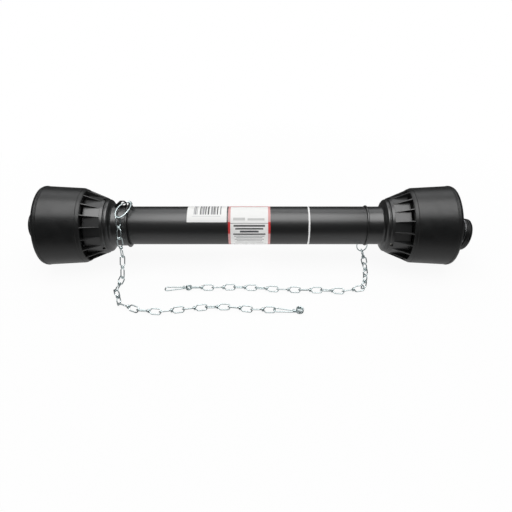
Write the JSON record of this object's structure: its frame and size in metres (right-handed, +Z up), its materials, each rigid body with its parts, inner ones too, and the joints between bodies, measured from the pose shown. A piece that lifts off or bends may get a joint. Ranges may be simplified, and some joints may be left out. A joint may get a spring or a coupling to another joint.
{
  "type": "power take-off drive shaft",
  "caption": "Telescopic power take-off drive shaft in a black plastic guard with ribbed bell ends, universal joints with splined yokes, and safety chains.",
  "frame": {"origin": "middle of the footprint on the ground, chains included", "axes": "+X along the shaft towards the end that pulls out, +Y away from the side the chains lie on, +Z up"},
  "size_m": [1.008, 0.303, 0.1813],
  "materials": {
    "black_guard_plastic": "moulded black plastic, slightly glossy",
    "white_nylon": "plain moulded nylon",
    "black_painted_steel": "black paint over forged steel",
    "drawn_steel": "oiled drawn tube",
    "ground_steel": "ground and hardened",
    "spring_steel": "dark rolled spring steel",
    "brass": "plain",
    "zinc_plated_wire": "bright zinc plate with a bluish tint"
  },
  "bodies": {
    "outer_guard": {"left_guard_bell": "black_guard_plastic", "outer_guard_tube": "black_guard_plastic", "left_bearing_ring": "white_nylon"},
    "inner_guard": {"right_guard_bell": "black_guard_plastic", "inner_guard_tube": "black_guard_plastic", "right_bearing_ring": "white_nylon"},
    "outer_shaft": {"outer_profile_tube": "drawn_steel", "left_tube_yoke": "black_painted_steel", "left_spring_pin": "spring_steel", "left_front_cap": "ground_steel", "left_back_cap": "ground_steel"},
    "inner_shaft": {"inner_profile_tube": "drawn_steel", "right_tube_yoke": "black_painted_steel", "right_spring_pin": "spring_steel", "right_front_cap": "ground_steel", "right_back_cap": "ground_steel"},
    "left_cross": {"left_cross": "ground_steel", "left_grease_nipple": "brass"},
    "right_cross": {"right_cross": "ground_steel", "right_grease_nipple": "brass"},
    "left_end_yoke": {"left_end_yoke": "black_painted_steel", "left_top_cap": "ground_steel", "left_bottom_cap": "ground_steel"},
    "right_end_yoke": {"right_end_yoke": "black_painted_steel", "right_top_cap": "ground_steel", "right_bottom_cap": "ground_steel"},
    "left_lock_pin": {"left_lock_pin": "ground_steel"},
    "right_lock_collar": {"right_lock_collar": "black_painted_steel"},
    "left_chain": {"left_chain_ring": "zinc_plated_wire", "left_chain_link_01": "zinc_plated_wire", "left_chain_link_02": "zinc_plated_wire", "left_chain_link_03": "zinc_plated_wire", "left_chain_link_04": "zinc_plated_wire", "left_chain_link_05": "zinc_plated_wire", "left_chain_link_06": "zinc_plated_wire", "left_chain_link_07": "zinc_plated_wire", "left_chain_link_08": "zinc_plated_wire", "left_chain_link_09": "zinc_plated_wire", "left_chain_link_10": "zinc_plated_wire", "left_chain_link_11": "zinc_plated_wire", "left_chain_link_12": "zinc_plated_wire"},
    "right_chain": {"right_chain_ring": "zinc_plated_wire", "right_chain_link_01": "zinc_plated_wire", "right_chain_link_02": "zinc_plated_wire", "right_chain_link_03": "zinc_plated_wire", "right_chain_link_04": "zinc_plated_wire", "right_chain_link_05": "zinc_plated_wire", "right_chain_link_06": "zinc_plated_wire", "right_chain_link_07": "zinc_plated_wire", "right_chain_link_08": "zinc_plated_wire", "right_chain_link_09": "zinc_plated_wire", "right_chain_link_10": "zinc_plated_wire", "right_chain_link_11": "zinc_plated_wire"},
    "left_hook": {"left_chain_hook": "zinc_plated_wire"},
    "right_hook": {"right_chain_hook": "zinc_plated_wire"}
  },
  "joints": [
    {"name": "guard_slide", "type": "slide", "parent": "outer_guard", "child": "inner_guard", "axis": [1, 0, 0], "range_m": [0, 0.35]},
    {"name": "shaft_spin", "type": "hinge", "parent": "outer_guard", "child": "outer_shaft", "pos_m": [-0.00995, 0.06089, 0.09065], "axis": [1, 0, 0], "continuous": true},
    {"name": "shaft_slide", "type": "slide", "parent": "outer_shaft", "child": "inner_shaft", "axis": [1, 0, 0], "range_m": [0, 0.35]},
    {"name": "left_cross_tilt", "type": "hinge", "parent": "outer_shaft", "child": "left_cross", "pos_m": [-0.40595, 0.06089, 0.09065], "axis": [0, 1, 0], "range_deg": [-25, 25]},
    {"name": "left_yoke_tilt", "type": "hinge", "parent": "left_cross", "child": "left_end_yoke", "pos_m": [-0.40595, 0.06089, 0.09065], "axis": [0, 0, 1], "range_deg": [-25, 25]},
    {"name": "right_cross_tilt", "type": "hinge", "parent": "inner_shaft", "child": "right_cross", "pos_m": [0.39205, 0.06089, 0.09065], "axis": [0, 1, 0], "range_deg": [-38.6, 11.4]},
    {"name": "right_yoke_tilt", "type": "hinge", "parent": "right_cross", "child": "right_end_yoke", "pos_m": [0.39205, 0.06089, 0.09065], "axis": [0.2351, 0, 0.972], "range_deg": [-25, 25]},
    {"name": "left_pin_press", "type": "slide", "parent": "left_end_yoke", "child": "left_lock_pin", "axis": [0, -1, 0], "range_m": [0, 0.006], "stiffness_N_per_m": 800, "springref_m": -0.005},
    {"name": "right_collar_slide", "type": "slide", "parent": "right_end_yoke", "child": "right_lock_collar", "axis": [-0.972, 0, 0.2351], "range_m": [0, 0.008], "stiffness_N_per_m": 1200, "springref_m": -0.005},
    {"name": "left_chain_swing", "type": "hinge", "parent": "outer_guard", "child": "left_chain", "pos_m": [-0.28955, 0.06564, 0.14495], "axis": [-1, 0, 0], "range_deg": [0, 25]},
    {"name": "right_chain_swing", "type": "hinge", "parent": "inner_guard", "child": "right_chain", "pos_m": [0.26355, 0.07401, 0.04168], "axis": [-1, 0, 0], "range_deg": [0, 45]},
    {"name": "left_hook_swivel", "type": "hinge", "parent": "left_chain", "child": "left_hook", "pos_m": [0.04672, -0.14129, 0.00631], "axis": [0, 0, 1], "range_deg": [-15, 15]},
    {"name": "right_hook_swivel", "type": "hinge", "parent": "right_chain", "child": "right_hook", "pos_m": [-0.13305, -0.06368, 0.00631], "axis": [0, 0, 1], "range_deg": [-15, 15]}
  ],
  "couplings": [
    {"joint": "shaft_slide", "follows": "guard_slide", "ratio": 1}
  ]
}
